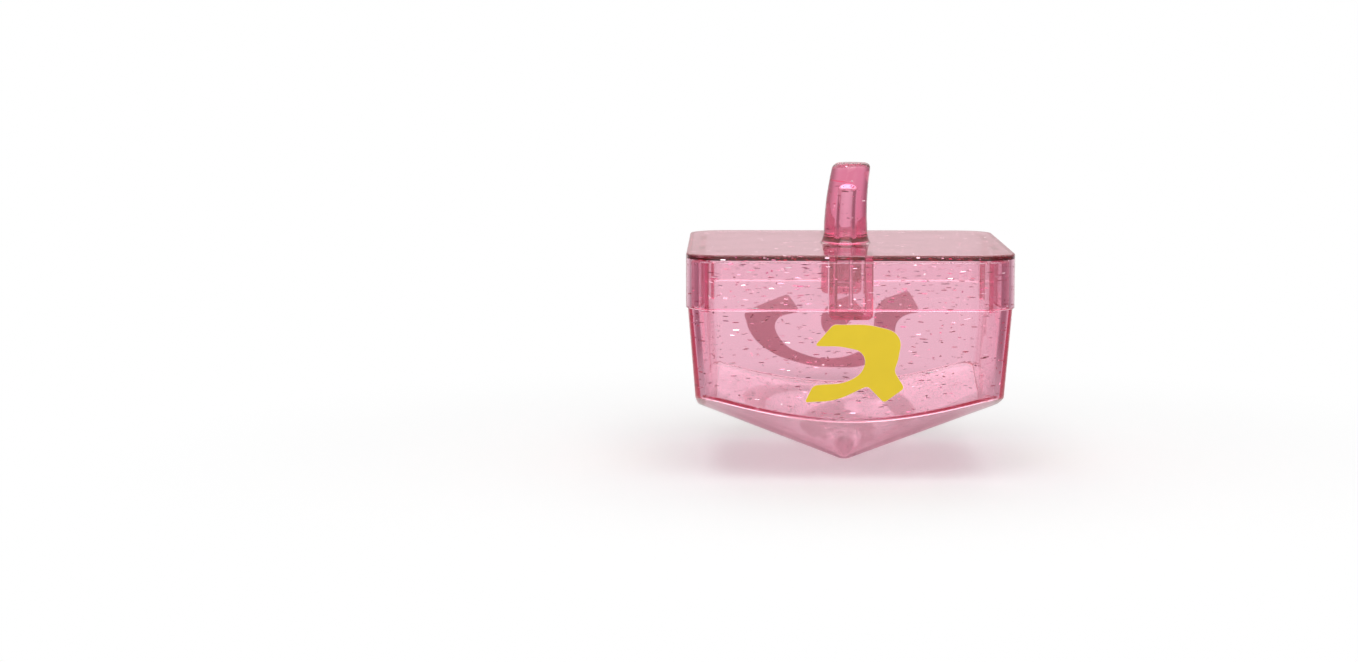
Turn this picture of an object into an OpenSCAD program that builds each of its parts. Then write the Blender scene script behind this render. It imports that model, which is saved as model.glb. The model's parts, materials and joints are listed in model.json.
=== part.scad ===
// Fillable dreidel: a hollow four-sided spinning top for small treats.
// It is two mouldings, a box with a cone-shaped bottom and a push-on lid with a finger stem.
// The origin is the tip that it spins on, +Z runs up the stem, and sizes are in millimetres.

/* [Lid] */
// Width of the lid across its flat sides
lid_w = 64; // [54:0.5:80]
// Height of the lid, from the lower edge of its skirt to its flat top
lid_h = 10.8; // [9:0.1:18]
// Radius of the lid's four upright corners
lid_corner_r = 7.4; // [6:0.1:9]
// Thickness of the lid's flat top
lid_top_t = 1.1; // [0.9:0.1:2.4]
// Thickness of the lid's skirt
skirt_t = 1; // [0.7:0.05:1.2]
// Radius of the edge between the lid's top and its skirt
lid_edge_r = 0.4; // [0.2:0.05:0.7]
// Radius of the skirt's lower outer edge
skirt_edge_r = 0.3; // [0.1:0.05:0.4]

/* [Stem] */
// Height of the stem above the lid
stem_h = 16.2; // [12:0.2:26]
// Diameter of the stem above the flare at its foot
stem_foot_d = 8.8; // [8:0.1:11]
// Diameter of the stem at its top
stem_top_d = 7.8; // [7:0.1:8.6]
// Radius of the edge round the stem's top
stem_edge_r = 1.3; // [0.5:0.1:2]
// How far the flare at the stem's foot spreads onto the lid
flare_w = 0.85; // [0.4:0.05:1.5]
// Height of the flare at the stem's foot
flare_h = 3.5; // [1:0.1:5]
// Diameter of the hollow up the stem, where it opens under the lid
core_foot_d = 3; // [2:0.1:5]
// Diameter of the hollow at its closed end
core_top_d = 2.6; // [1.6:0.1:4.2]
// Thickness of plastic left over the end of the hollow
stem_cap_t = 4.3; // [2:0.1:6]

/* [Grip tabs] */
// How far the tabs reach below the skirt
tab_reach = 1.8; // [1:0.1:4]
// Thickness of the tabs
tab_t = 1.2; // [0.8:0.1:1.6]
// Radius of the tabs' lower corners
tab_corner_r = 1.2; // [0.5:0.1:2]
// Width of the channel tab in the middle of the front and of the back
channel_w = 8.5; // [7:0.1:14]
// Width of the channel tab's side ribs
rib_w = 1.6; // [1:0.1:2]
// How far the side ribs stand in from the tab
rib_depth = 7; // [2:0.1:8]
// Thickness of the floor that joins the side ribs at their lower ends
floor_t = 1.8; // [1:0.1:3]
// Width of the ridge down the middle of the channel
ridge_w = 0.8; // [0.6:0.1:1.5]
// How far the ridge stands in from the tab
ridge_depth = 1.6; // [0.5:0.1:3]
// Width of each plain tab of the pairs on the left and right
pair_w = 8.6; // [5:0.1:12]
// Distance between the middles of a pair of plain tabs
pair_spacing = 25.2; // [18:0.2:32]

/* [Box] */
// Height of the box from its tip to the shoulder that the lid sits on
box_h = 33.55; // [27:0.05:60]
// How far the lid stands out past the box, all round
overhang = 0.35; // [0.2:0.05:0.6]
// Lean of the box's sides from upright, in degrees
side_lean = 4.8; // [1:0.1:7]
// Slope of the cone-shaped bottom from level, in degrees
cone_slope = 22.3; // [18:0.1:30]
// Thickness of the box's sides at the shoulder
box_wall = 2; // [1.6:0.1:2.6]
// Thickness of the box's cone-shaped bottom
bottom_t = 1.1; // [0.8:0.05:2]
// Diameter of the blunt tip
tip_d = 2; // [1:0.1:4]
// Radius of the edge between the blunt tip and the cone
tip_edge_r = 1; // [0.5:0.1:2]

/* [Fits] */
// Clearance between the box's rim and the lid's skirt
skirt_gap = 0.1; // [0.05:0.01:0.2]
// Clearance between the box's rim and the grip tabs
tab_gap = 0.1; // [0.05:0.01:0.2]
// Room left between the top of the rim and the underside of the lid
rim_gap = 0.3; // [0.1:0.05:0.6]
// Size of the bevels that lead the lid onto the box
lead_in = 0.25; // [0.1:0.05:0.3]

/* [Hidden] */
$fn = 96;
rose = [0.93, 0.66, 0.76];
clearness = 0.6;
arc_steps = 6;
// overrun of the cuts, and depth that joined pieces run into each other
over = 0.4;
// grid for the half widths of a rounded square, so that its corners and its sides meet exactly
grid = 0.001;

// Corner posts of box and lid all turn about the same four upright axes
corner_at = lid_w / 2 - lid_corner_r;

// Levels, from the tip up
shoulder_z = box_h;
lid_top_z = shoulder_z + lid_h;
underside_z = lid_top_z - lid_top_t;
rim_z = underside_z - rim_gap;
tab_z = shoulder_z - tab_reach;
stem_z = lid_top_z + stem_h;

// Half widths, from the outside in
skirt_half = lid_w / 2 - skirt_t;
rim_half = skirt_half - skirt_gap;
box_half = lid_w / 2 - overhang;
inner_half = box_half - box_wall;
tab_half = inner_half - tab_gap;

// The cone's height at a distance r from the axis is r * rise + lift
rise = tan(cone_slope);
shrink = tan(side_lean);
outer_lift = -rise * tip_d / 2;
inner_lift = outer_lift + bottom_t / cos(cone_slope);

// [half width, height] just under the place where the middle of a leaning wall meets the cone
function wall_foot(top_half, lift) =
    let (half = (top_half - shrink * (shoulder_z - lift)) / (1 - shrink * rise))
    [half - shrink * over, half * rise + lift - over];

// Points along part of an ellipse, from angle a to angle b
function arc(centre, rx, ry, a, b) = [
    for (i = [0 : arc_steps])
        let (t = a + (b - a) * i / arc_steps)
        centre + [rx * cos(t), ry * sin(t)]
];

// A square post with rounded corners. The outline gives [half width, height] up one side.
module rounded_square(outline) {
    low = outline[0][1];
    high = outline[len(outline) - 1][1];
    side = [for (p = outline) [round(p[0] / grid) * grid, p[1]]];
    for (x = [-1, 1], y = [-1, 1])
        translate([x * corner_at, y * corner_at, 0])
            rotate_extrude()
                polygon([
                    [0, low],
                    for (p = side) [p[0] - corner_at, p[1]],
                    [0, high]
                ]);
    for (turn = [0, 90])
        rotate([90, 0, turn])
            linear_extrude(2 * corner_at, center = true)
                polygon([
                    for (p = side) p,
                    for (i = [len(side) - 1 : -1 : 0]) [-side[i][0], side[i][1]]
                ]);
}

// Everything above a cone that opens upward from a blunt tip
module above_cone(lift, edge_r) {
    flat_r = tip_d / 2;
    flat_z = flat_r * rise + lift;
    tangent = edge_r * tan(cone_slope / 2);
    far = lid_w;
    rotate_extrude()
        polygon([
            [0, flat_z],
            each arc([flat_r - tangent, flat_z + edge_r], edge_r, edge_r, -90, cone_slope - 90),
            [far, far * rise + lift],
            [far, far * rise + lift + lid_top_z],
            [0, far * rise + lift + lid_top_z]
        ]);
}

// One leaning shell of the box, from below the tip to the top of the rim
module box_solid() {
    foot = wall_foot(box_half, outer_lift);
    intersection() {
        rounded_square([
            [foot[0], -over],
            foot,
            [box_half, shoulder_z],
            [rim_half, shoulder_z],
            [rim_half, rim_z - lead_in],
            [rim_half - lead_in, rim_z]
        ]);
        above_cone(outer_lift, tip_edge_r);
    }
}

module box_hollow() {
    foot = wall_foot(inner_half, inner_lift);
    intersection() {
        rounded_square([
            [foot[0], 0],
            foot,
            [inner_half, shoulder_z],
            [inner_half, rim_z + over]
        ]);
        above_cone(inner_lift, tip_edge_r);
    }
}

module box() {
    color(rose, clearness)
        difference() {
            box_solid();
            box_hollow();
        }
}

// Lid top and skirt, open below
module cap() {
    difference() {
        rounded_square([
            each arc([lid_w / 2 - skirt_edge_r, shoulder_z + skirt_edge_r],
                skirt_edge_r, skirt_edge_r, -90, 0),
            each arc([lid_w / 2 - lid_edge_r, lid_top_z - lid_edge_r], lid_edge_r, lid_edge_r, 0, 90)
        ]);
        rounded_square([
            [skirt_half + lead_in + over, shoulder_z - over],
            [skirt_half, shoulder_z + lead_in],
            [skirt_half, underside_z]
        ]);
    }
}

// Stem with a flared foot and a rounded top, sunk into the lid's top
module stem() {
    foot_r = stem_foot_d / 2;
    top_r = stem_top_d / 2;
    flare_z = lid_top_z + flare_h;
    rotate_extrude()
        polygon([
            [0, lid_top_z - lid_top_t / 2],
            [foot_r + flare_w, lid_top_z - lid_top_t / 2],
            each arc([foot_r + flare_w, flare_z], flare_w, flare_h, 270, 180),
            each arc([top_r - stem_edge_r, stem_z - stem_edge_r], stem_edge_r, stem_edge_r, 0, 90),
            [0, stem_z]
        ]);
}

// Tapered hollow up the stem, open under the lid
module stem_core() {
    end_z = stem_z - stem_cap_t;
    end_r = core_top_d / 2;
    rotate_extrude()
        polygon([
            [0, underside_z - over],
            [core_foot_d / 2, underside_z - over],
            [core_foot_d / 2, underside_z],
            each arc([0, end_z - end_r], end_r, end_r, 0, 90)
        ]);
}

// A tab's face, seen from inside the box: square above, with rounded corners below
module tab_face(width) {
    for (side = [-1, 1])
        translate([side * (width / 2 - tab_corner_r), tab_z + tab_corner_r])
            circle(tab_corner_r);
    translate([tab_corner_r - width / 2, tab_z])
        square([width - 2 * tab_corner_r, tab_corner_r + over]);
    translate([-width / 2, tab_z + tab_corner_r])
        square([width, underside_z + over - tab_z - tab_corner_r]);
}

// Upright slab of a tab's section, which stands in from the tab's outer face.
// The lower half of its reach below the skirt is bevelled outside, to enter the box.
module tab_slab(width, depth) {
    rotate([90, 0, 90])
        linear_extrude(width, center = true)
            polygon([
                [tab_half - depth, underside_z + over],
                [tab_half - depth, tab_z],
                [tab_half - lead_in, tab_z],
                [tab_half, tab_z + tab_reach / 2],
                [tab_half, underside_z + over]
            ]);
}

// Plain springy tab on the +Y side
module plain_tab(width) {
    intersection() {
        tab_slab(width, tab_t);
        translate([0, tab_half + over, 0])
            rotate([90, 0, 0])
                linear_extrude(tab_t + 2 * over)
                    tab_face(width);
    }
}

// Channel tab on the +Y side: a plain tab with a rib down each edge, a ridge and a floor between
module channel_tab() {
    plain_tab(channel_w);
    intersection() {
        union() {
            for (side = [-1, 1])
                translate([side * (channel_w - rib_w) / 2, 0, 0])
                    tab_slab(rib_w, tab_t + rib_depth);
            tab_slab(ridge_w, tab_t + ridge_depth);
            translate([-channel_w / 2, tab_half - tab_t - rib_depth, tab_z])
                cube([channel_w, rib_depth + tab_t / 2, floor_t]);
        }
        translate([0, tab_half + over, 0])
            rotate([90, 0, 0])
                linear_extrude(tab_t + rib_depth + 2 * over)
                    tab_face(channel_w);
    }
}

module lid() {
    color(rose, clearness)
        difference() {
            union() {
                cap();
                stem();
                for (turn = [0, 180])
                    rotate([0, 0, turn])
                        channel_tab();
                for (turn = [90, 270], side = [-1, 1])
                    rotate([0, 0, turn])
                        translate([side * pair_spacing / 2, 0, 0])
                            plain_tab(pair_w);
            }
            stem_core();
        }
}

box();
lid();
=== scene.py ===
"""Looks for the fillable dreidel: clear rose plastic with glitter in it, and four printed letters.

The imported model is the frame. Sizes are in metres, the tip is the origin and +Z runs up the stem.
"""
import json
import math
import random

import bmesh
import bpy
from bpy.props import FloatProperty, FloatVectorProperty, IntProperty, PointerProperty
from mathutils import Matrix, Vector
from mathutils.bvhtree import BVHTree
from mathutils.geometry import normal as face_normal


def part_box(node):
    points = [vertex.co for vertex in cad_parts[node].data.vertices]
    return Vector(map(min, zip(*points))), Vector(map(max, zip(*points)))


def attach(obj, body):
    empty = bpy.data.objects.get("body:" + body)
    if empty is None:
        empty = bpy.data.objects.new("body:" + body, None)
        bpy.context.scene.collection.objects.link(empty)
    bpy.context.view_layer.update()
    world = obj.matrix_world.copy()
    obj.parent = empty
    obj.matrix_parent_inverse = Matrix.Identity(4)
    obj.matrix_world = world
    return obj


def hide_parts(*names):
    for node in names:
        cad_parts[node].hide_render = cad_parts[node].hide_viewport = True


bl_info = {
    "name": "Fillable Dreidel",
    "version": (1, 0, 0),
    "blender": (4, 5, 0),
    "location": "3D View > Sidebar > Dreidel",
    "description": "Dresses the dreidel's two mouldings and prints its letters",
    "category": "Object",
}

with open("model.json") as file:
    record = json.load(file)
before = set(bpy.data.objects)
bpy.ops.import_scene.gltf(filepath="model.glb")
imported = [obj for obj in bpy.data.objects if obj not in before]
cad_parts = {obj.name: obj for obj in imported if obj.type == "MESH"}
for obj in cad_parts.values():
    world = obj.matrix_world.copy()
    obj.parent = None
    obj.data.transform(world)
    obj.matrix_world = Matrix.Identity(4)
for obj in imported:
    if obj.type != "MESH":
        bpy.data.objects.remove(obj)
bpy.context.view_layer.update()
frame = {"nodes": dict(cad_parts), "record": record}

MM = 0.001
BODY_OF_NODE = {
    node: body
    for body, nodes in frame["record"]["behaviour"]["bodies"].items()
    for node in nodes
}


def linear(hex_colour):
    """sRGB hex colour as linear red, green and blue."""
    parts = [int(hex_colour[i:i + 2], 16) / 255 for i in (1, 3, 5)]
    return tuple(p / 12.92 if p <= 0.04045 else ((p + 0.055) / 1.055) ** 2.4 for p in parts)


def rgba(colour):
    """Linear colour with full opacity."""
    return (*colour[:3], 1.0)


def add_node(tree, kind, settings=None, inputs=None):
    """Adds a node. An input is a value, or the output socket that it is linked from."""
    node = tree.nodes.new(kind)
    for name, value in (settings or {}).items():
        setattr(node, name, value)
    for name, value in (inputs or {}).items():
        socket = node.inputs[name]
        if isinstance(value, bpy.types.NodeSocket):
            tree.links.new(value, socket)
        else:
            socket.default_value = value
    return node


def new_material(name):
    """An empty node material and its output node."""
    material = bpy.data.materials.new(name)
    material.use_nodes = True
    material.node_tree.nodes.clear()
    # What a material shows of its own lights nothing else
    material.cycles.emission_sampling = "NONE"
    return material, add_node(material.node_tree, "ShaderNodeOutputMaterial")


# Settings that a user would change


class DreidelPlastic(bpy.types.PropertyGroup):
    """Clear tinted plastic of box and lid"""

    depth_colour: FloatVectorProperty(
        name="Colour in depth",
        description="What is left of white light after one attenuation depth of plastic",
        subtype="COLOR", size=3, min=0, max=1, default=linear("#EE6CAC"))
    density: FloatProperty(
        name="Tint density",
        description="How strongly the plastic takes up light, per metre",
        default=215, min=0, max=2000)
    lid_density: FloatProperty(
        name="Tint density of the lid",
        description="How strongly the lid's plastic takes up light, per metre",
        default=238, min=0, max=2000)
    # The two edge colours are painted glows: the plastic emits them where a ray's reflections or
    # bounces run out, in place of the light still guided in it
    painted_glow_colour: FloatVectorProperty(
        name="Edge colour",
        description="What light looks like that has run a long way inside the plastic",
        subtype="COLOR", size=3, min=0, max=1, default=linear("#E0A0B0"))
    lid_painted_glow_colour: FloatVectorProperty(
        name="Edge colour of the lid",
        description="The same for the lid, where light runs further from edge to edge",
        subtype="COLOR", size=3, min=0, max=1, default=linear("#A83C58"))
    ior: FloatProperty(
        name="Index of refraction",
        description="Polystyrene is 1.59 and acrylic is 1.49",
        default=1.59, min=1.3, max=1.8)
    roughness: FloatProperty(
        name="Roughness",
        description="Haze that the polished mould leaves on the surface",
        subtype="FACTOR", default=0.03, min=0, max=0.5)
    sink_wave: FloatProperty(
        name="Wave length",
        description="Spacing of the slow waves that cooling leaves in a moulded wall",
        subtype="DISTANCE", unit="LENGTH", default=9 * MM, min=MM)


class DreidelGlitter(bpy.types.PropertyGroup):
    """Flakes of metallised film mixed into the plastic"""

    box_count: IntProperty(
        name="Flakes in the box",
        description="Number of flakes in the box's walls",
        default=2300, min=0, max=20000)
    lid_count: IntProperty(
        name="Flakes in the lid",
        description="Number of flakes in the lid",
        default=1300, min=0, max=20000)
    length: FloatProperty(
        name="Flake length",
        description="Length of the longest flakes",
        subtype="DISTANCE", unit="LENGTH", default=1.5 * MM, min=0.05 * MM)
    width: FloatProperty(
        name="Flake width",
        description="Width of the widest flakes",
        subtype="DISTANCE", unit="LENGTH", default=0.24 * MM, min=0.05 * MM)
    thickness: FloatProperty(
        name="Flake thickness",
        description="Thickness of the film",
        subtype="DISTANCE", unit="LENGTH", default=0.03 * MM, min=0.005 * MM)
    depth: FloatProperty(
        name="Least depth",
        description="How deep under the surface the shallowest flakes lie",
        subtype="DISTANCE", unit="LENGTH", default=0.3 * MM, min=0)


class DreidelPrint(bpy.types.PropertyGroup):
    """Screen print on the four faces"""

    ink_colour: FloatVectorProperty(
        name="Ink colour",
        description="Colour of the top layer of ink",
        subtype="COLOR", size=3, min=0, max=1, default=linear("#F8D824"))
    base_colour: FloatVectorProperty(
        name="Base colour",
        description="Colour of the opaque layer under the ink, seen through the box",
        subtype="COLOR", size=3, min=0, max=1, default=linear("#F6D6DC"))
    layer: FloatProperty(
        name="Layer thickness",
        description="Thickness of one layer of ink",
        subtype="DISTANCE", unit="LENGTH", default=0.03 * MM, min=0.005 * MM)
    spread: FloatProperty(
        name="Base spread",
        description="How far the base shows round the ink",
        subtype="DISTANCE", unit="LENGTH", default=0.06 * MM, min=0)


class DreidelStage(bpy.types.PropertyGroup):
    """Floor, lights and camera"""

    floor_size: FloatProperty(
        name="Floor size",
        description="Side of the square floor",
        subtype="DISTANCE", unit="LENGTH", default=8, min=0.5)
    ambient: FloatProperty(
        name="Room light",
        description="Strength of the even light that matte surfaces get from all round",
        default=0.28, min=0, max=2)
    overhead: FloatProperty(
        name="Overhead light",
        description="Power of the soft light above, which makes the shadow under the box",
        subtype="POWER", default=1.9, min=0)
    fill: FloatProperty(
        name="Front light",
        description="Power of the soft light behind the camera",
        subtype="POWER", default=1.7, min=0)
    back: FloatProperty(
        name="Back light",
        description="Power of the soft light behind the top, which draws the shadow forward",
        subtype="POWER", default=1.0, min=0)


# Materials


# Reflections and bounces that a ray may make before the plastic shows it a painted glow in the edge
# colour
LAST_REFLECTION = 3.5
LAST_BOUNCE = 10.5


def moulded_polystyrene(name, density, painted_glow_colour, settings):
    """Clear polystyrene tinted in the mass, injection moulded in a polished mould.

    Gives the eye a glossy wall that is pale where it is thin, and deep rose where light runs
    along it, as in the edges and ribs: partly from the tint, and partly from a painted glow where
    a ray's bounces run out. Slow waves from cooling bend what is seen through it.
    """
    material, output = new_material(name)
    tree = material.node_tree
    place = add_node(tree, "ShaderNodeTexCoord").outputs["Object"]
    waves = add_node(
        tree, "ShaderNodeTexNoise", {"noise_dimensions": "3D"},
        {"Vector": place, "Scale": 1 / settings.sink_wave, "Detail": 1.0, "Roughness": 0.4})
    bump = add_node(
        tree, "ShaderNodeBump", None,
        {"Height": waves.outputs["Fac"], "Strength": 0.15, "Distance": 0.1 * MM})
    shader = add_node(
        tree, "ShaderNodeBsdfPrincipled", None,
        {"Base Color": (1, 1, 1, 1), "Transmission Weight": 1.0, "IOR": settings.ior,
         "Roughness": settings.roughness, "Normal": bump.outputs["Normal"]})
    depth = add_node(
        tree, "ShaderNodeVolumeAbsorption", None,
        {"Color": rgba(settings.depth_colour), "Density": density})
    # Light that is still guided between two faces when its bounces run out would end black, so there
    # the plastic shows a painted glow in the edge colour instead
    path = add_node(tree, "ShaderNodeLightPath")
    reflected = add_node(
        tree, "ShaderNodeMath", {"operation": "GREATER_THAN"},
        {0: path.outputs["Glossy Depth"], 1: LAST_REFLECTION})
    worn_out = add_node(
        tree, "ShaderNodeMath", {"operation": "GREATER_THAN"},
        {0: path.outputs["Ray Depth"], 1: LAST_BOUNCE})
    guided = add_node(
        tree, "ShaderNodeMath", {"operation": "MAXIMUM"},
        {0: reflected.outputs["Value"], 1: worn_out.outputs["Value"]})
    # Painted glow: the plastic emits the edge colour where the reflections or bounces run out
    painted_edge_glow = add_node(
        tree, "ShaderNodeEmission", None, {"Color": rgba(painted_glow_colour), "Strength": 1.0})
    surface = add_node(
        tree, "ShaderNodeMixShader", None,
        {0: guided.outputs["Value"], 1: shader.outputs["BSDF"],
         2: painted_edge_glow.outputs["Emission"]})
    tree.links.new(surface.outputs["Shader"], output.inputs["Surface"])
    tree.links.new(depth.outputs["Volume"], output.inputs["Volume"])
    return material


# Shades of the flakes: the share of them at which each begins, and its colour
FLAKE_SHADES = ((0.0, "#A2486E"), (0.2, "#CF86A2"), (0.45, "#EBC4D2"), (0.7, "#FFFFFF"))


def metallised_film():
    """Polyester film with a vapour-coated metal layer, die cut into flakes.

    Gives the eye specks that are bright where a flake catches the white room, and dark rose
    where it lies on edge. Each flake has a shade of its own.
    """
    material, output = new_material("metallised_film")
    tree = material.node_tree
    chance = add_node(tree, "ShaderNodeNewGeometry").outputs["Random Per Island"]
    shade = add_node(tree, "ShaderNodeValToRGB", None, {"Fac": chance})
    ramp = shade.color_ramp
    ramp.interpolation = "CONSTANT"
    while len(ramp.elements) < len(FLAKE_SHADES):
        ramp.elements.new(0.5)
    for element, (where, colour) in zip(ramp.elements, FLAKE_SHADES):
        element.position = where
        element.color = rgba(linear(colour))
    shader = add_node(
        tree, "ShaderNodeBsdfPrincipled", None,
        {"Base Color": shade.outputs["Color"], "Metallic": 1.0, "Roughness": 0.25})
    tree.links.new(shader.outputs["BSDF"], output.inputs["Surface"])
    return material


# Spacing of the marks that the print's mesh leaves, and of slow changes of its tone
MESH_MARKS = 0.4 * MM
INK_CLOUDS = 5 * MM
# How many times its own painted glow a base gains where the plastic mirrors it: painted light that
# fades its mirrored image, in place of the blur that waves give it
MIRRORED_GLOW = 6.0


def screen_ink(name, colour, glow):
    """Opaque plastisol ink, squeezed through a mesh of 0.1 mm and cured.

    Gives the eye a flat, slightly satin colour, with a painted glow of the given strength that is
    several times brighter where it is seen mirrored. The mesh is finer than the render shows, so it
    is drawn at 0.4 mm.
    """
    material, output = new_material(name)
    tree = material.node_tree
    place = add_node(tree, "ShaderNodeTexCoord").outputs["Object"]
    mesh_marks = add_node(
        tree, "ShaderNodeTexNoise", {"noise_dimensions": "3D"},
        {"Vector": place, "Scale": 1 / MESH_MARKS, "Detail": 2.0})
    cloud = add_node(
        tree, "ShaderNodeTexNoise", {"noise_dimensions": "3D"},
        {"Vector": place, "Scale": 1 / INK_CLOUDS, "Detail": 2.0})
    tone = add_node(
        tree, "ShaderNodeMix", {"data_type": "RGBA"},
        {"Factor": cloud.outputs["Fac"],
         "A": rgba([c * 0.94 for c in colour]), "B": rgba([min(1, c * 1.05) for c in colour])})
    bump = add_node(
        tree, "ShaderNodeBump", None,
        {"Height": mesh_marks.outputs["Fac"], "Strength": 0.2, "Distance": 0.01 * MM})
    gloss = add_node(
        tree, "ShaderNodeMapRange", None,
        {"Value": mesh_marks.outputs["Fac"], "To Min": 0.4, "To Max": 0.55})
    # Painted light: the ink glows at the given strength, and gains MIRRORED_GLOW times that where it
    # is seen mirrored
    path = add_node(tree, "ShaderNodeLightPath")
    mirrored = add_node(
        tree, "ShaderNodeMath", {"operation": "GREATER_THAN"},
        {0: path.outputs["Glossy Depth"], 1: 0.5})
    glowing = add_node(
        tree, "ShaderNodeMath", {"operation": "MULTIPLY_ADD"},
        {0: mirrored.outputs["Value"], 1: glow * MIRRORED_GLOW, 2: glow})
    shader = add_node(
        tree, "ShaderNodeBsdfPrincipled", None,
        {"Base Color": tone.outputs["Result"], "Roughness": gloss.outputs["Result"],
         "Normal": bump.outputs["Normal"], "Emission Color": tone.outputs["Result"],
         "Emission Strength": glowing.outputs["Value"]})
    tree.links.new(shader.outputs["BSDF"], output.inputs["Surface"])
    return material


# Box and lid


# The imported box's own sizes
SHOULDER_Z = 33.55 * MM
RIM_Z = 42.95 * MM
BOX_HALF = 31.65 * MM
RIM_HALF = 30.9 * MM
INNER_HALF = 29.65 * MM
CORNER_AT = 24.6 * MM
LEAN = math.tan(math.radians(4.8))
SLOPE = math.radians(22.3)
RISE = math.tan(SLOPE)
BOTTOM_T = 1.1 * MM
TIP_R = 1 * MM
OUTER_LIFT = -TIP_R * RISE
INNER_LIFT = OUTER_LIFT + BOTTOM_T / math.cos(SLOPE)
TIP_EDGE_R = 1 * MM
RIM_BEVEL = 0.25 * MM
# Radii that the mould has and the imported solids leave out
LOWER_EDGE_R = 0.7 * MM
INSIDE_EDGE_R = 0.2 * MM
# Faces along a side, round a corner post, across the two edges and across the tip's edge
SIDE_STEPS = 22
CORNER_STEPS = 14
LOWER_EDGE_STEPS = 6
INSIDE_EDGE_STEPS = 3
TIP_STEPS = 4
# Rings as shares of the wall from the shoulder down, and of the cone from the axis out
WALL_RINGS = (0.02, 0.35, 0.7)
CONE_RINGS = (0.85, 0.65, 0.45, 0.28, 0.15)
# Rounds of the search for the height at which a leaning wall meets the cone
FOOT_ROUNDS = 30
# A face beside a rounded edge is kept flat by a narrow band of faces
BAND = 0.15 * MM


def square_ring():
    """Steps round a square with rounded corners, as (corner, direction out of the corner)."""
    ring = []
    for quarter in range(4):
        turn = quarter * math.pi / 2
        spin = Matrix.Rotation(turn, 2)
        for i in range(CORNER_STEPS + 1):
            angle = math.pi / 2 * i / CORNER_STEPS
            ring.append((spin @ Vector((CORNER_AT, CORNER_AT)),
                         spin @ Vector((math.cos(angle), math.sin(angle)))))
        for i in range(1, SIDE_STEPS):
            along = CORNER_AT * (1 - 2 * i / SIDE_STEPS)
            ring.append((spin @ Vector((along, CORNER_AT)), spin @ Vector((0, 1))))
    return ring


def ring_point(step, half, z):
    """Where a step of the ring lies on the wall whose half width is given."""
    corner, out = step
    flat = corner + out * (half - CORNER_AT)
    return Vector((flat.x, flat.y, z))


def on_cone(flat, lift):
    """The point of a cone-shaped bottom over or under a flat position."""
    return Vector((flat.x, flat.y, RISE * math.hypot(flat.x, flat.y) + lift))


def rounded(start, corner, end, steps):
    """Points of a round edge that leaves start and reaches end along two sides of a corner."""
    one, two = (start - corner).normalized(), (end - corner).normalized()
    weight = math.sin(one.angle(two) / 2)
    points = []
    for i in range(steps + 1):
        t = i / steps
        a, b, c = (1 - t) ** 2, 2 * weight * t * (1 - t), t ** 2
        points.append((start * a + corner * b + end * c) / (a + b + c))
    return points


def skin(step, top_half, lift, radius, steps):
    """One line down a side of the box, from just under the shoulder to near the axis."""
    def wall(height):
        return ring_point(step, top_half - LEAN * (SHOULDER_Z - height), height)

    z = 0
    for _ in range(FOOT_ROUNDS):
        z = on_cone(wall(z), lift).z
    corner = wall(z)
    reach = radius * math.tan((math.pi / 2 - SLOPE) / 2)
    high = z + reach
    inward = corner - Vector((*step[1], 0)) * reach * math.cos(SLOPE)
    end = on_cone(inward, lift)
    line = [wall(SHOULDER_Z - (SHOULDER_Z - high) * share) for share in WALL_RINGS]
    line.append(wall(high + BAND))
    line += rounded(wall(high), corner, end, steps)
    near = end.xy * (1 - BAND / end.xy.length)
    line.append(on_cone(near, lift))
    line += [on_cone(near * share, lift) for share in CONE_RINGS]
    tangent = TIP_EDGE_R * math.tan(SLOPE / 2)
    outward = near.normalized()
    for i in range(TIP_STEPS + 1):
        angle = SLOPE * (1 - i / TIP_STEPS)
        r = TIP_R - tangent + TIP_EDGE_R * math.sin(angle)
        rise = TIP_EDGE_R * (1 - math.cos(angle))
        line.append(Vector((*(outward * r), TIP_R * RISE + lift + rise)))
    return line


def box_mesh():
    """The box as a clean shell of rings, with the radii of the mould at its lower edges."""
    lines = []
    for step in square_ring():
        outside = skin(step, BOX_HALF, OUTER_LIFT, LOWER_EDGE_R, LOWER_EDGE_STEPS)
        inside = skin(step, INNER_HALF, INNER_LIFT, INSIDE_EDGE_R, INSIDE_EDGE_STEPS)
        rim = [
            ring_point(step, half, z) for half, z in (
                (BOX_HALF, SHOULDER_Z),
                (BOX_HALF - BAND, SHOULDER_Z),
                (RIM_HALF, SHOULDER_Z),
                (RIM_HALF, SHOULDER_Z + BAND),
                (RIM_HALF, RIM_Z - RIM_BEVEL),
                (RIM_HALF - RIM_BEVEL, RIM_Z),
                (INNER_HALF, RIM_Z),
                (INNER_HALF, RIM_Z - BAND),
                (INNER_HALF, SHOULDER_Z))
        ]
        lines.append(outside[::-1] + rim + inside)
    length = len(lines[0])
    vertices = [point for line in lines for point in line]
    faces = []
    for i in range(len(lines)):
        here, there = i * length, (i + 1) % len(lines) * length
        faces += [(here + k, there + k, there + k + 1, here + k + 1) for k in range(length - 1)]
    # The flat of the tip closes the outside, and the flat over it the inside
    for k, way in ((0, -1), (length - 1, 1)):
        middle = len(vertices)
        vertices.append(Vector((0, 0, vertices[k].z)))
        for i in range(len(lines)):
            pair = (i * length + k, (i + 1) % len(lines) * length + k)
            faces.append((middle, *pair) if way > 0 else (middle, *reversed(pair)))
    return vertices, faces


# The stem set in a slight curve when it left the mould hot
BEND_FROM_Z = 48 * MM
STEM_TOP_Z = 60.55 * MM
STEM_BEND = 1.25 * MM
BEND_STEPS = 14


def bent(point):
    """Where a point of the straight lid lies in the real one, whose stem curves towards +X."""
    share = max(0, (point.z - BEND_FROM_Z) / (STEM_TOP_Z - BEND_FROM_Z))
    return point + Vector((STEM_BEND * share ** 2, 0, 0))


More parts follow.
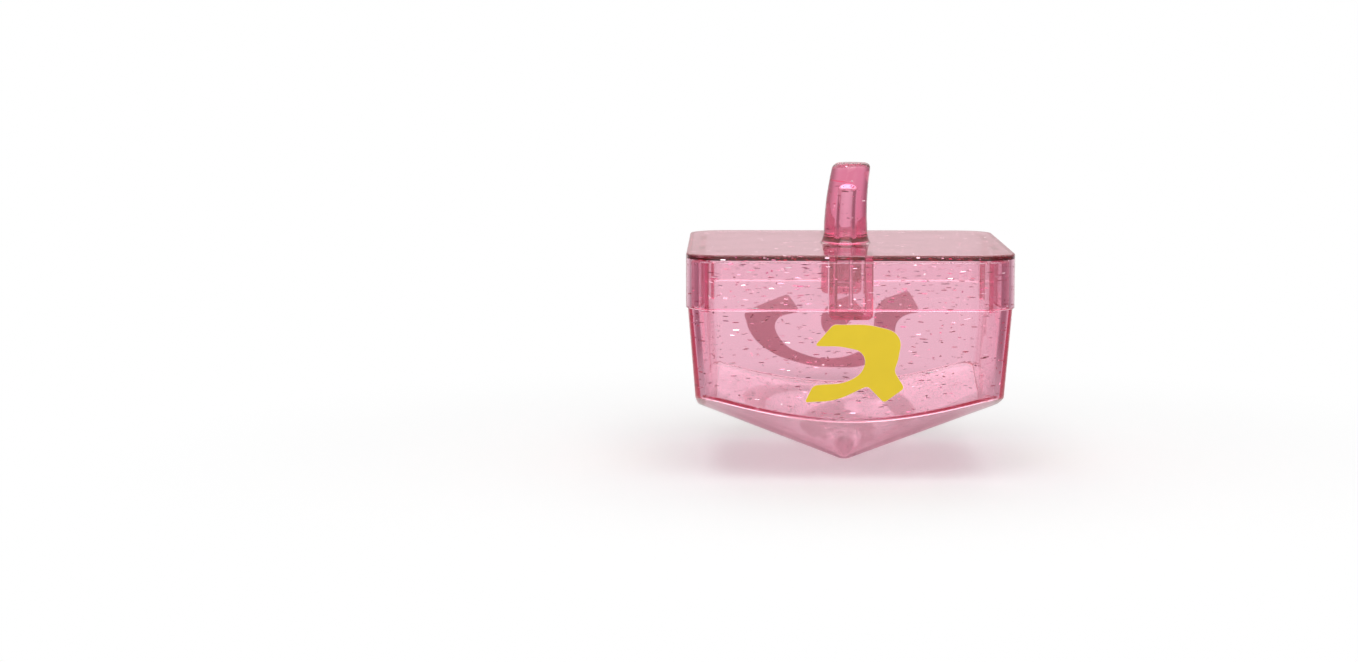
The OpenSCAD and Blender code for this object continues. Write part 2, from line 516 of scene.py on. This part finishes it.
# Upright edges of the channel tabs: distance from the middle across and along, and radius
TAB_EDGES = ((4.25 * MM, 21.35 * MM, 0.7 * MM),
             (2.65 * MM, 21.35 * MM, 0.7 * MM),
             (0.4 * MM, 26.75 * MM, 0.35 * MM))
# Both ends of such an edge lie this near its place, and it is longer than the short ones there
TAB_EDGE_NEAR = 0.02 * MM
TAB_EDGE_LENGTH = 1 * MM
TAB_EDGE_STEPS = 5
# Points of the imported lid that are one, and faces of it that are flat together
SAME_POINT = 0.001 * MM
SAME_PLANE = math.radians(0.1)


def round_tab_edges(cut):
    """Rounds the free ends of the channels' ribs and ridges."""
    for across, along, radius in TAB_EDGES:
        edges = [
            e for e in cut.edges if e.calc_length() > TAB_EDGE_LENGTH and all(
                abs(abs(v.co.x) - across) < TAB_EDGE_NEAR
                and abs(abs(v.co.y) - along) < TAB_EDGE_NEAR for v in e.verts)]
        bmesh.ops.bevel(
            cut, geom=edges, offset=radius, offset_type="OFFSET", segments=TAB_EDGE_STEPS,
            profile=0.5, affect="EDGES", clamp_overlap=True)


def from_first(ring):
    """The same ring of point numbers, starting at its lowest."""
    start = ring.index(min(ring))
    return ring[start:] + ring[:start]


def lid_mesh():
    """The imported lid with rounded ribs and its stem, still straight, cut into rings."""
    cut = bmesh.new()
    cut.from_mesh(frame["nodes"]["lid"].data)
    bmesh.ops.remove_doubles(cut, verts=cut.verts[:], dist=SAME_POINT)
    bmesh.ops.dissolve_limit(
        cut, angle_limit=SAME_PLANE, verts=cut.verts[:], edges=cut.edges[:])
    round_tab_edges(cut)
    for i in range(BEND_STEPS):
        z = BEND_FROM_Z + (STEM_TOP_Z - BEND_FROM_Z) * i / BEND_STEPS
        bmesh.ops.bisect_plane(
            cut, geom=cut.verts[:] + cut.edges[:] + cut.faces[:],
            plane_co=(0, 0, z), plane_no=(0, 0, 1))
    cut.verts.index_update()
    vertices = [v.co.copy() for v in cut.verts]
    # The bevel makes its faces in an order that changes from run to run
    faces = sorted(from_first([v.index for v in f.verts]) for f in cut.faces)
    cut.free()
    return vertices, faces


# Faces that meet at more than this angle keep a hard edge between them
HARD_EDGE = math.radians(34)


def smooth_piece(name, vertices, faces, node, material, slot):
    """Adds a smooth-shaded mesh that takes the place of a CAD node."""
    mesh = bpy.data.meshes.new(name)
    mesh.from_pydata(vertices, [], faces)
    mesh.shade_smooth()
    mesh.set_sharp_from_angle(angle=HARD_EDGE)
    mesh.materials.append(material)
    piece = bpy.data.objects.new(name, mesh)
    bpy.context.scene.collection.objects.link(piece)
    flats = piece.modifiers.new("flats", "WEIGHTED_NORMAL")
    flats.keep_sharp = True
    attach(piece, BODY_OF_NODE[node])
    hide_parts(node)


class DREIDEL_OT_box(bpy.types.Operator):
    """Makes the box of clear rose plastic"""

    bl_idname = "dreidel.box"
    bl_label = "Dress the Box"

    def execute(self, context):
        settings = context.scene.dreidel_plastic
        plastic = moulded_polystyrene(
            "rose_polystyrene_box", settings.density, settings.painted_glow_colour, settings)
        smooth_piece("box_shell", *box_mesh(), "box", plastic, "box_plastic")
        return {"FINISHED"}


class DREIDEL_OT_lid(bpy.types.Operator):
    """Makes the lid and its stem of clear rose plastic"""

    bl_idname = "dreidel.lid"
    bl_label = "Dress the Lid"

    def execute(self, context):
        settings = context.scene.dreidel_plastic
        plastic = moulded_polystyrene(
            "rose_polystyrene_lid", settings.lid_density, settings.lid_painted_glow_colour, settings)
        vertices, faces = lid_mesh()
        curved = [bent(point) for point in vertices]
        smooth_piece("lid_shell", curved, faces, "lid", plastic, "lid_plastic")
        return {"FINISHED"}


# Glitter


# Least cover of plastic over a flake's corners
FLAKE_COVER = 0.08 * MM
FLAKE_CORNERS = 6
# Size of the smallest flakes, as a share of the largest, and how much the small ones prevail
LEAST_SIZE = 0.35
SMALL_PREVAIL = 1.5
# Share of the flakes that are cut nearly as wide as long, and their sides in flake widths
SQUAT_SHARE = 0.15
SQUAT_LENGTH = 2
SQUAT_WIDTH = 1.3
# How far flakes swing from level and roll out of the surface, as spreads in degrees
SWING = 4
SQUAT_SWING = 30
ROLL = 28
# A surface whose normal rises more than this counts as level
LEVEL = 0.9


def flake_outline(length, width):
    """Corners of a hexagon stretched along X."""
    return [
        Vector((length / 2 * math.cos(turn), width / 2 * math.sin(turn), 0))
        for turn in (math.radians(360 * i / FLAKE_CORNERS) for i in range(FLAKE_CORNERS))
    ]


def flakes_in(node, shell, count, seed, settings):
    """One mesh of flakes that lie in a node's straight shell, mostly along its surface."""
    chance = random.Random(seed)
    mesh = frame["nodes"][node].data
    skin_tree = BVHTree.FromPolygons(*shell)

    def is_inside(point):
        place, out, _, _ = skin_tree.find_nearest(point)
        return (place - point).dot(out) > FLAKE_COVER

    mesh.calc_loop_triangles()
    corners = [[mesh.vertices[i].co for i in tri.vertices] for tri in mesh.loop_triangles]
    areas = [tri.area for tri in mesh.loop_triangles]
    vertices, faces = [], []
    for a, b, c in chance.choices(corners, areas, k=count):
        s, t = sorted((chance.random(), chance.random()))
        out = face_normal(a, b, c)
        level = Vector((-out.y, out.x, 0)) if abs(out.z) < LEVEL else Vector((1, 0, 0))
        level.normalize()
        axes = Matrix((level, out.cross(level), out)).transposed().to_4x4()
        deep = settings.depth * (1 + chance.random())
        where = a * s + b * (t - s) + c * (1 - t) - out * deep
        squat = chance.random() < SQUAT_SHARE
        spread = SQUAT_SWING if squat else SWING
        swing = Matrix.Rotation(math.radians(chance.gauss(0, spread)), 4, "Z")
        roll = Matrix.Rotation(math.radians(chance.gauss(0, ROLL)), 4, "X")
        turn = Matrix.Translation(where) @ axes @ swing @ roll
        size = LEAST_SIZE + (1 - LEAST_SIZE) * chance.random() ** SMALL_PREVAIL
        length = settings.width * SQUAT_LENGTH if squat else settings.length * size
        ring = flake_outline(length, settings.width * (SQUAT_WIDTH if squat else size))
        if not all(is_inside(turn @ p) for p in ring):
            continue
        lift = Vector((0, 0, settings.thickness / 2))
        first = len(vertices)
        vertices += [turn @ (p + lift) for p in ring] + [turn @ (p - lift) for p in ring]
        under = first + FLAKE_CORNERS
        faces.append([first + i for i in range(FLAKE_CORNERS)])
        faces.append([under + i for i in reversed(range(FLAKE_CORNERS))])
        for i in range(FLAKE_CORNERS):
            j = (i + 1) % FLAKE_CORNERS
            faces.append([first + j, first + i, under + i, under + j])
    if node == "lid":
        vertices = [bent(point) for point in vertices]
    made = bpy.data.meshes.new(f"{node}_glitter")
    made.from_pydata(vertices, [], faces)
    return made


class DREIDEL_OT_glitter(bpy.types.Operator):
    """Scatters flakes of film through the plastic of box and lid"""

    bl_idname = "dreidel.glitter"
    bl_label = "Scatter the Glitter"

    def execute(self, context):
        settings = context.scene.dreidel_glitter
        film = metallised_film()
        for seed, (node, shell, count) in enumerate((
                ("box", box_mesh(), settings.box_count),
                ("lid", lid_mesh(), settings.lid_count)), start=1):
            mesh = flakes_in(node, shell, count, seed, settings)
            mesh.materials.append(film)
            piece = bpy.data.objects.new(f"{node}_glitter", mesh)
            context.scene.collection.objects.link(piece)
            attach(piece, BODY_OF_NODE[node])
        return {"FINISHED"}


# Letters


# Outlines in mm on a face, as seen from outside: x to the right of its middle, z above the tip.
# A third value of 1 marks a sharp corner, and the rest of the points are on a smooth curve.
LETTERS = {
    "nun": (90, [[
        (-2.6, 30.2, 1), (3.6, 29.2, 0), (7.2, 27.6, 0), (8.4, 25.0, 0), (8.4, 19.5, 0),
        (7.2, 16.8, 0), (3.8, 15.3, 0), (-8.2, 14.2, 1), (-5.8, 18.4, 1), (1.1, 18.7, 0),
        (2.9, 20.2, 0), (2.9, 22.3, 0), (1.3, 24.4, 0), (-1.6, 25.5, 0), (-6.1, 26.2, 1)]]),
    "gimel": (0, [[
        (-3.4, 31.0, 1), (5.2, 30.5, 0), (9.1, 28.6, 0), (9.2, 24.6, 0), (8.4, 21.8, 1),
        (10.4, 18.5, 1), (6.5, 15.6, 1), (3.3, 18.9, 1), (-3.0, 16.2, 0), (-8.9, 15.6, 1),
        (-7.3, 18.9, 1), (0.2, 20.2, 0), (2.6, 22.8, 0), (2.2, 25.2, 0), (-0.7, 26.4, 0),
        (-7.0, 26.8, 1)]]),
    "he": (-90, [
        [(-8.9, 30.7, 1), (7.4, 30.4, 0), (11.0, 28.2, 0), (11.1, 23.2, 1), (13.4, 19.7, 1),
         (9.9, 16.2, 1), (7.0, 19.4, 0), (5.8, 24.0, 1), (-0.8, 25.2, 0), (-4.0, 26.9, 1),
         (-13.3, 27.1, 1)],
        [(-8.4, 24.5, 1), (-6.4, 22.8, 0), (-6.3, 20.4, 0), (-4.1, 18.7, 1), (-7.9, 15.5, 1),
         (-10.9, 19.2, 0), (-10.9, 22.1, 0)]]),
    "shin": (180, [[
        (-14.7, 31.4, 1), (-9.4, 29.6, 1), (-7.6, 27.3, 1), (-7.2, 19.9, 1),
        (-1.5, 21.2, 0), (-1.3, 24.0, 0), (-5.3, 27.0, 1), (-2.1, 30.4, 1), (2.2, 28.4, 0),
        (3.9, 24.9, 0), (1.4, 21.3, 0), (-5.7, 18.9, 1), (0.2, 17.1, 0), (8.1, 18.0, 0),
        (13.0, 21.5, 0), (13.6, 25.0, 0), (8.7, 27.3, 1), (11.1, 30.6, 1), (16.2, 28.6, 0),
        (20.5, 26.6, 1), (18.9, 22.3, 0), (15.4, 18.9, 0), (8.8, 16.2, 0), (1.5, 15.2, 0),
        (-6.6, 16.1, 0), (-11.2, 20.0, 0), (-12.6, 25.2, 0), (-17.0, 27.5, 1)]]),
}


# The flat of a face looks this squarely to its side, leans at least this much, and is this far out
FACE_SQUARE = 0.98
FACE_LEAN = 0.02
FACE_OUT = 0.8


def face_of_box(turn):
    """A point on the flat of the box's face at that angle round the axis, and its outward normal."""
    toward = Matrix.Rotation(math.radians(turn), 3, "Z") @ Vector((0, -1, 0))
    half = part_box("box")[1].x
    flats = [
        polygon for polygon in frame["nodes"]["box"].data.polygons
        if polygon.normal.dot(toward) > FACE_SQUARE
        and polygon.normal.z < -FACE_LEAN
        and polygon.center.dot(toward) > half * FACE_OUT]
    if not flats:
        raise RuntimeError(f"the box has no flat face at {turn} degrees")
    flat = max(flats, key=lambda polygon: polygon.area)
    return flat.center.copy(), flat.normal.copy()


# The pale base glows a little: painted light in place of the room's light that comes through the
# thin layer from behind
BASE_GLOW = 0.15
# Ink rounds a corner over this many mm of its two edges, bulging this share of the way to it
CORNER_EASE = 0.7
CORNER_PULL = 0.6
# Straight pieces between two knots of an outline
CURVE_STEPS = 10


def eased(outline):
    """Knots of an outline as (place, handle before, handle after), with its corners rounded."""
    knots = []
    count = len(outline)
    for i, (x, z, sharp) in enumerate(outline):
        corner = Vector((x, z))
        if not sharp:
            knots.append((corner, None, None))
            continue
        back = Vector(outline[i - 1][:2]) - corner
        ahead = Vector(outline[(i + 1) % count][:2]) - corner
        start = corner + back.normalized() * CORNER_EASE
        end = corner + ahead.normalized() * CORNER_EASE
        knots.append((start, start + back / 3, start.lerp(corner, CORNER_PULL)))
        knots.append((end, end.lerp(corner, CORNER_PULL), end + ahead / 3))
    return knots


def letter_layer(name, outlines, spread, low, high):
    """A flat mesh of the letter in its face's own plane, from height low to high over the plane."""
    curve = bpy.data.curves.new(name, "CURVE")
    curve.dimensions = "2D"
    curve.fill_mode = "BOTH"
    curve.resolution_u = CURVE_STEPS
    curve.extrude = (high - low) / 2
    curve.offset = spread
    for outline in outlines:
        knots = eased(outline)
        spline = curve.splines.new("BEZIER")
        spline.use_cyclic_u = True
        spline.bezier_points.add(len(knots) - 1)
        for point, (place, before, after) in zip(spline.bezier_points, knots):
            point.co = (*place * MM, (high + low) / 2)
            if before is None:
                point.handle_left_type = point.handle_right_type = "AUTO"
            else:
                point.handle_left = (*before * MM, (high + low) / 2)
                point.handle_right = (*after * MM, (high + low) / 2)
    drawn = bpy.data.objects.new(name, curve)
    bpy.context.scene.collection.objects.link(drawn)
    bpy.context.view_layer.update()
    mesh = bpy.data.meshes.new_from_object(drawn.evaluated_get(
        bpy.context.evaluated_depsgraph_get()))
    bpy.data.objects.remove(drawn)
    bpy.data.curves.remove(curve)
    return mesh


def printed_letter(name, turn, outlines, inks, settings):
    """The base layer and the ink of one letter, laid on its leaning face as one piece."""
    centre, out = face_of_box(turn)
    across = Vector((0, 0, 1)).cross(out).normalized()
    up = out.cross(across)
    # z is a height over the tip, so the plane's own origin is where the face would meet z = 0
    start = centre - across * centre.dot(across) - up * (centre.z / up.z)
    place = Matrix((across, up, out)).transposed().to_4x4()
    place.translation = start
    layer = settings.layer
    parts = (
        letter_layer(f"{name}_base", outlines, settings.spread, layer * 2, layer * 3),
        letter_layer(f"{name}_ink", outlines, 0, layer * 3, layer * 4),
    )
    vertices, faces, slots = [], [], []
    for index, part in enumerate(parts):
        first = len(vertices)
        vertices += [place @ Vector((v.co.x, v.co.y / up.z, v.co.z)) for v in part.vertices]
        faces += [[first + i for i in polygon.vertices] for polygon in part.polygons]
        slots += [index] * len(part.polygons)
        bpy.data.meshes.remove(part)
    mesh = bpy.data.meshes.new(f"letter_{name}")
    mesh.from_pydata(vertices, [], faces)
    for ink in inks:
        mesh.materials.append(ink)
    mesh.polygons.foreach_set("material_index", slots)
    mesh.update()
    return bpy.data.objects.new(f"letter_{name}", mesh)


class DREIDEL_OT_letters(bpy.types.Operator):
    """Prints the four game letters on the box's faces"""

    bl_idname = "dreidel.letters"
    bl_label = "Print the Letters"

    def execute(self, context):
        settings = context.scene.dreidel_print
        # The pale base is given a painted glow, and the yellow ink none
        inks = (screen_ink("pale_base_ink", settings.base_colour, BASE_GLOW),
                screen_ink("yellow_screen_ink", settings.ink_colour, 0))
        for name, (turn, outlines) in LETTERS.items():
            piece = printed_letter(name, turn, outlines, inks, settings)
            context.scene.collection.objects.link(piece)
            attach(piece, BODY_OF_NODE["box"])
        return {"FINISHED"}


# Stage


# What clear plastic shows of the room behind it and to its left and right
BEHIND = "#FAF8F9"
BESIDE = "#A88C96"
# How far aside a direction points where the left and right begin, and where they are full
ASIDE_FROM = 0.45
ASIDE_TO = 0.9


def seen_plainly(tree, path):
    """1 for rays that show a thing to the camera: straight, mirrored or through clear plastic."""
    straight_or_mirrored = add_node(
        tree, "ShaderNodeMath", {"operation": "MAXIMUM"},
        {0: path.outputs["Is Camera Ray"], 1: path.outputs["Is Glossy Ray"]})
    seen = add_node(
        tree, "ShaderNodeMath", {"operation": "MAXIMUM"},
        {0: straight_or_mirrored.outputs["Value"], 1: path.outputs["Is Transmission Ray"]})
    return seen.outputs["Value"]


def sides_of_room(tree, path, aside):
    """White to the camera; in and through the plastic, dimmer and darkest to left and right."""
    distance = add_node(tree, "ShaderNodeMath", {"operation": "ABSOLUTE"}, {0: aside})
    share = add_node(
        tree, "ShaderNodeMapRange", {"interpolation_type": "SMOOTHSTEP"},
        {"Value": distance.outputs["Value"], "From Min": ASIDE_FROM, "From Max": ASIDE_TO})
    shown = add_node(
        tree, "ShaderNodeMix", {"data_type": "RGBA"},
        {"Factor": share.outputs["Result"], "A": rgba(linear(BEHIND)), "B": rgba(linear(BESIDE))})
    seen = add_node(
        tree, "ShaderNodeMix", {"data_type": "RGBA"},
        {"Factor": path.outputs["Is Camera Ray"],
         "A": shown.outputs["Result"], "B": (1, 1, 1, 1)})
    return seen.outputs["Result"]


# The paper, and a darker paper that the plastic shows behind the box: a painted shadow of the box
PAPER = "#F4F4F4"
SHADED_PAPER = "#DCD8D9"
# Distances from the tip over which that painted shadow comes in
SHADE_FROM = 0.03
SHADE_TO = 0.06
# Distances over which the paper turns plain white, and how much later that starts in the plastic
FADE_FROM = 0.06
FADE_TO = 0.16
FADE_LATER = 0.05
# What the camera sees on top of the paper's own light
BLEACH = 0.2


def white_paper():
    """Matt white paper sweep.

    Gives the eye a white floor that keeps the coloured shadow of the top, and runs out into
    plain white further off. Through the plastic, the paper behind the box is darker: a painted
    shadow.
    """
    material, output = new_material("white_paper_floor")
    tree = material.node_tree
    place = add_node(tree, "ShaderNodeTexCoord").outputs["Object"]
    reach = add_node(
        tree, "ShaderNodeVectorMath", {"operation": "LENGTH"}, {0: place}).outputs["Value"]
    path = add_node(tree, "ShaderNodeLightPath")
    through = path.outputs["Is Transmission Ray"]

    # Painted shadow: what the plastic lets through sees the paper behind the box darker
    shade = add_node(
        tree, "ShaderNodeMapRange", {"interpolation_type": "SMOOTHSTEP"},
        {"Value": reach, "From Min": SHADE_FROM, "From Max": SHADE_TO, "To Max": through})
    tone = add_node(
        tree, "ShaderNodeMix", {"data_type": "RGBA"},
        {"Factor": shade.outputs["Result"],
         "A": rgba(linear(PAPER)), "B": rgba(linear(SHADED_PAPER))})
    paper = add_node(
        tree, "ShaderNodeBsdfDiffuse", None, {"Color": tone.outputs["Result"]})
    lift = add_node(
        tree, "ShaderNodeMath", {"operation": "MULTIPLY"},
        {0: path.outputs["Is Camera Ray"], 1: BLEACH})
    bleach = add_node(
        tree, "ShaderNodeEmission", None,
        {"Color": (1, 1, 1, 1), "Strength": lift.outputs["Value"]})
    lit = add_node(
        tree, "ShaderNodeAddShader", None,
        {0: paper.outputs["BSDF"], 1: bleach.outputs["Emission"]})

    begins = add_node(
        tree, "ShaderNodeMath", {"operation": "MULTIPLY_ADD"},
        {0: through, 1: FADE_LATER, 2: FADE_FROM})
    far = add_node(
        tree, "ShaderNodeMapRange", {"interpolation_type": "SMOOTHSTEP"},
        {"Value": reach, "From Min": begins.outputs["Value"], "From Max": FADE_TO})
    plain = add_node(
        tree, "ShaderNodeMath", {"operation": "MULTIPLY"},
        {0: far.outputs["Result"], 1: seen_plainly(tree, path)})
    split = add_node(tree, "ShaderNodeSeparateXYZ", None, {"Vector": place})
    aside = add_node(
        tree, "ShaderNodeMath", {"operation": "DIVIDE"}, {0: split.outputs["X"], 1: reach})
    glow = add_node(
        tree, "ShaderNodeEmission", None,
        {"Color": sides_of_room(tree, path, aside.outputs["Value"]), "Strength": 1.0})
    mix = add_node(
        tree, "ShaderNodeMixShader", None,
        {0: plain.outputs["Value"], 1: lit.outputs["Shader"], 2: glow.outputs["Emission"]})
    tree.links.new(mix.outputs["Shader"], output.inputs["Surface"])
    return material


# Heights of a direction between which the ceiling comes in
CEILING_FROM = 0.5
CEILING_TO = 0.95
# How much the ceiling adds for matte surfaces, and for what the plastic lets through
CEILING = 0.5
SKYLIGHT = 2.0
# What is mirrored at eye level and overhead, and the heights of a direction between them
MIRRORED_LEVEL = "#E6D0D3"
MIRRORED_HIGH = (1.25, 1.25, 1.25, 1)
MIRRORED_FROM = 0.15
MIRRORED_TO = 0.4
# Heights between which the dimmer left and right give way to white in the plastic
SIDES_FROM = 0.05
SIDES_TO = 0.35


def room(world, ambient):
    """A white room with a bright ceiling.

    What is seen in it is white. What is mirrored is greyer at eye level and brighter overhead,
    what the plastic lets through is dimmer from the left and right and brighter from overhead,
    and what lights matte surfaces is weaker.
    """
    world.use_nodes = True
    tree = world.node_tree
    tree.nodes.clear()
    output = add_node(tree, "ShaderNodeOutputWorld")
    path = add_node(tree, "ShaderNodeLightPath")
    through = path.outputs["Is Transmission Ray"]
    direction = add_node(tree, "ShaderNodeTexCoord").outputs["Generated"]
    way = add_node(tree, "ShaderNodeSeparateXYZ", None, {"Vector": direction})

    ceiling = add_node(
        tree, "ShaderNodeMapRange", {"interpolation_type": "SMOOTHSTEP"},
        {"Value": way.outputs["Z"], "From Min": CEILING_FROM, "From Max": CEILING_TO})
    matte = add_node(
        tree, "ShaderNodeMath", {"operation": "MULTIPLY_ADD"},
        {0: ceiling.outputs["Result"], 1: CEILING, 2: ambient})
    shining_in = add_node(
        tree, "ShaderNodeMath", {"operation": "MULTIPLY"},
        {0: ceiling.outputs["Result"], 1: through})
    clear = add_node(
        tree, "ShaderNodeMath", {"operation": "MULTIPLY_ADD"},
        {0: shining_in.outputs["Value"], 1: SKYLIGHT, 2: 1.0})
    strength = add_node(
        tree, "ShaderNodeMapRange", None,
        {"Value": seen_plainly(tree, path), "To Min": matte.outputs["Value"],
         "To Max": clear.outputs["Value"]})

    eye_level = add_node(
        tree, "ShaderNodeMapRange", {"interpolation_type": "SMOOTHSTEP"},
        {"Value": way.outputs["Z"], "From Min": MIRRORED_FROM, "From Max": MIRRORED_TO,
         "To Min": 1.0, "To Max": 0.0})
    mirrored = add_node(
        tree, "ShaderNodeMix", {"data_type": "RGBA"},
        {"Factor": eye_level.outputs["Result"],
         "A": MIRRORED_HIGH, "B": rgba(linear(MIRRORED_LEVEL))})
    low = add_node(
        tree, "ShaderNodeMapRange", {"interpolation_type": "SMOOTHSTEP"},
        {"Value": way.outputs["Z"], "From Min": SIDES_FROM, "From Max": SIDES_TO,
         "To Min": 1.0, "To Max": 0.0})
    level = add_node(
        tree, "ShaderNodeMath", {"operation": "MULTIPLY"}, {0: low.outputs["Result"], 1: through})
    let_through = add_node(
        tree, "ShaderNodeMix", {"data_type": "RGBA"},
        {"Factor": level.outputs["Value"],
         "A": (1, 1, 1, 1), "B": sides_of_room(tree, path, way.outputs["X"])})
    colour = add_node(
        tree, "ShaderNodeMix", {"data_type": "RGBA"},
        {"Factor": path.outputs["Is Glossy Ray"],
         "A": let_through.outputs["Result"], "B": mirrored.outputs["Result"]})
    light = add_node(
        tree, "ShaderNodeBackground", None,
        {"Color": colour.outputs["Result"], "Strength": strength.outputs["Result"]})
    tree.links.new(light.outputs["Background"], output.inputs["Surface"])


# The lamps by the names of their settings, with their sides and places in metres
LAMPS = (
    ("overhead", 0.7, (0, -0.4, 0.7)),
    ("fill", 0.8, (0, -0.9, 0.5)),
    ("back", 0.7, (0, 0.6, 0.6)),
)
# Middle of the box, which the lamps face
LAMPS_FACE = (0, 0, 0.03)
# Camera fitted to the photograph: place, tilt down and turn to the left, and lens in mm
CAMERA_AT = (-0.02249, -0.57196, 0.09066)
CAMERA_TILT = 0.11238
CAMERA_TURN = 0.01986
CAMERA_LENS = 74.69
CAMERA_SENSOR = 36


def soft_light(name, power, size, at):
    """A large square lamp at a place, facing the box."""
    lamp = bpy.data.lights.new(name, "AREA")
    lamp.shape = "SQUARE"
    lamp.size = size
    lamp.energy = power
    piece = bpy.data.objects.new(name, lamp)
    piece.location = at
    piece.rotation_euler = (Vector(LAMPS_FACE) - Vector(at)).to_track_quat("-Z", "Y").to_euler()
    bpy.context.scene.collection.objects.link(piece)


def paper_floor(size):
    """A square of white paper that the top stands on."""
    half = size / 2
    mesh = bpy.data.meshes.new("floor")
    mesh.from_pydata(
        [(-half, -half, 0), (half, -half, 0), (half, half, 0), (-half, half, 0)], [],
        [(0, 1, 2, 3)])
    mesh.materials.append(white_paper())
    floor = bpy.data.objects.new("floor", mesh)
    bpy.context.scene.collection.objects.link(floor)


def fitted_camera():
    """The camera at the photograph's viewing angle."""
    lens = bpy.data.cameras.new("camera")
    lens.sensor_width = CAMERA_SENSOR
    lens.lens = CAMERA_LENS
    camera = bpy.data.objects.new("camera", lens)
    camera.location = CAMERA_AT
    camera.rotation_euler = (math.pi / 2 - CAMERA_TILT, 0, CAMERA_TURN)
    bpy.context.scene.collection.objects.link(camera)
    bpy.context.scene.camera = camera


class DREIDEL_OT_stage(bpy.types.Operator):
    """Sets the floor, the lights and the camera"""

    bl_idname = "dreidel.stage"
    bl_label = "Set the Stage"

    def execute(self, context):
        scene = context.scene
        settings = scene.dreidel_stage
        paper_floor(settings.floor_size)
        scene.world = bpy.data.worlds.new("room")
        room(scene.world, settings.ambient)
        for name, size, at in LAMPS:
            soft_light(name, getattr(settings, name), size, at)
        fitted_camera()
        scene.view_settings.view_transform = "Standard"
        return {"FINISHED"}


class DREIDEL_PT_panel(bpy.types.Panel):
    """Steps that dress the dreidel, and their settings"""

    bl_idname = "DREIDEL_PT_panel"
    bl_label = "Dreidel"
    bl_space_type = "VIEW_3D"
    bl_region_type = "UI"
    bl_category = "Dreidel"

    def draw(self, context):
        for group, steps in PANEL_ROWS:
            box = self.layout.box()
            settings = getattr(context.scene, group)
            for name in settings.__annotations__:
                box.prop(settings, name)
            for step in steps:
                box.operator(step.bl_idname)


SETTINGS = {
    "dreidel_plastic": DreidelPlastic,
    "dreidel_glitter": DreidelGlitter,
    "dreidel_print": DreidelPrint,
    "dreidel_stage": DreidelStage,
}
PANEL_ROWS = (
    ("dreidel_plastic", (DREIDEL_OT_box, DREIDEL_OT_lid)),
    ("dreidel_glitter", (DREIDEL_OT_glitter,)),
    ("dreidel_print", (DREIDEL_OT_letters,)),
    ("dreidel_stage", (DREIDEL_OT_stage,)),
)
CLASSES = (
    *SETTINGS.values(),
    DREIDEL_OT_box,
    DREIDEL_OT_lid,
    DREIDEL_OT_glitter,
    DREIDEL_OT_letters,
    DREIDEL_OT_stage,
    DREIDEL_PT_panel,
)


def register():
    for cls in CLASSES:
        bpy.utils.register_class(cls)
    for name, group in SETTINGS.items():
        setattr(bpy.types.Scene, name, PointerProperty(type=group))


def unregister():
    for name in SETTINGS:
        delattr(bpy.types.Scene, name)
    for cls in reversed(CLASSES):
        bpy.utils.unregister_class(cls)


def main():
    register()
    bpy.ops.dreidel.box()
    bpy.ops.dreidel.lid()
    bpy.ops.dreidel.glitter()
    bpy.ops.dreidel.letters()
    bpy.ops.dreidel.stage()


if __name__ == "__main__":
    main()
